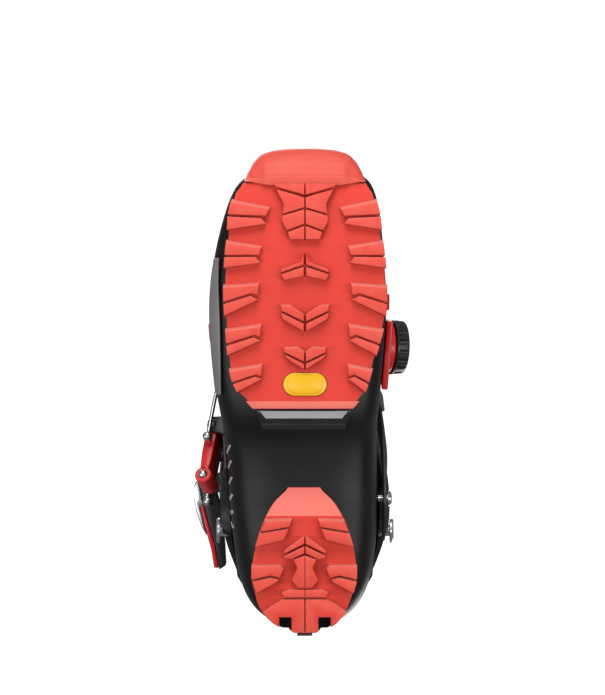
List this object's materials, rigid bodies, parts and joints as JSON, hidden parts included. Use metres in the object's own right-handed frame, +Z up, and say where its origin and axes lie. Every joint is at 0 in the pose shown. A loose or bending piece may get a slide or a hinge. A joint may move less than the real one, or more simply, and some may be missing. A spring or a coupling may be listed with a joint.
{
  "type": "alpine touring ski boot",
  "caption": "Right alpine touring ski boot with lugged rubber soles, hinged cuff, lever buckles, lace dial and inner boot.",
  "frame": {"origin": "on the flat underside of the heel plug, in the standing plane, 44 mm ahead of the rear of the heel", "axes": "+Z up, toe along -Y, medial side along +X, lateral side along -X"},
  "size_m": [0.1414, 0.3124, 0.3201],
  "materials": {
    "black_plastic": "satin",
    "glossy_black": "gloss",
    "red_rubber": "matt",
    "light_red_rubber": "matt",
    "yellow_plastic": "satin",
    "grey_plastic": "satin",
    "red_plastic": "satin",
    "steel": "brushed",
    "strap": "woven",
    "strap_plastic": "satin",
    "liner_foam": "soft",
    "red_fabric": "woven"
  },
  "bodies": {
    "lower": {"lower_shell": "black_plastic", "toe_bumper": "light_red_rubber", "toe_insert": "steel", "front_outsole": "red_rubber", "sole_badge": "yellow_plastic", "heel_outsole": "red_rubber", "heel_insert": "steel", "heel_insert_screw": "steel", "arch_window": "glossy_black", "instep_flap": "black_plastic", "side_panel": "grey_plastic", "lace": "strap", "lace_guide_lateral_rear": "red_plastic", "lace_guide_medial": "red_plastic", "lace_guide_lateral_front": "red_plastic", "lace_anchor": "red_plastic", "dial_base": "red_plastic", "instep_buckle_base": "black_plastic", "instep_lever_pin": "steel", "instep_strap": "strap_plastic", "strap_anchor_pin": "steel", "lock_plate": "steel", "pivot_bolt_lateral": "steel", "pivot_bolt_medial": "steel", "liner_foot": "liner_foam", "footbed": "red_fabric"},
    "dial": {"dial_knob": "black_plastic", "dial_cap": "steel"},
    "cuff": {"cuff": "black_plastic", "cuff_tongue": "black_plastic", "cuff_buckle_base": "black_plastic", "cuff_lever_pin": "steel", "cuff_ladder": "steel", "power_strap": "strap", "power_strap_buckle": "black_plastic", "power_strap_tail": "strap", "walk_housing": "black_plastic", "walk_lever_pin": "steel", "lock_bar": "steel", "liner_cuff": "liner_foam", "liner_tongue": "liner_foam", "liner_pull_loop": "red_fabric"},
    "cuff_lever": {"cuff_lever": "black_plastic", "cuff_lever_plate": "red_plastic", "cuff_lever_cap": "steel", "cuff_bail_pin": "steel"},
    "cuff_bail": {"cuff_bail": "steel"},
    "instep_lever": {"instep_lever": "red_plastic", "instep_bail_pin": "steel", "instep_tail_pin": "steel"},
    "instep_bail": {"instep_bail": "steel"},
    "walk_lever": {"walk_lever": "red_plastic"}
  },
  "joints": [
    {"name": "cuff_hinge", "type": "hinge", "parent": "lower", "child": "cuff", "pos_m": [0, -0.012, 0.1], "axis": [1, 0, 0], "range_deg": [-18, 15]},
    {"name": "dial_turn", "type": "hinge", "parent": "lower", "child": "dial", "pos_m": [0.04769, -0.13155, 0.06198], "axis": [0.9706, 0.0257, 0.2394], "continuous": true},
    {"name": "cuff_lever_hinge", "type": "hinge", "parent": "cuff", "child": "cuff_lever", "pos_m": [-0.0675, -0.038, 0.171], "axis": [0, 0, 1], "range_deg": [0, 110]},
    {"name": "cuff_bail_hinge", "type": "hinge", "parent": "cuff_lever", "child": "cuff_bail", "pos_m": [-0.06547, -0.02719, 0.171], "axis": [0, 0, 1], "range_deg": [-110, 0]},
    {"name": "instep_lever_hinge", "type": "hinge", "parent": "lower", "child": "instep_lever", "pos_m": [-0.05713, -0.07671, 0.08883], "axis": [0.2132, 0.477, 0.8527], "range_deg": [0, 100]},
    {"name": "instep_bail_hinge", "type": "hinge", "parent": "instep_lever", "child": "instep_bail", "pos_m": [-0.05894, -0.06706, 0.08388], "axis": [0.2132, 0.477, 0.8527], "range_deg": [-100, 0]},
    {"name": "walk_lever_hinge", "type": "hinge", "parent": "cuff", "child": "walk_lever", "pos_m": [0, 0.05315, 0.13941], "axis": [-1, 0, 0], "range_deg": [0, 75]}
  ],
  "couplings": [
    {"joint": "cuff_bail_hinge", "follows": "cuff_lever_hinge", "ratio": -1},
    {"joint": "instep_bail_hinge", "follows": "instep_lever_hinge", "ratio": -1}
  ]
}
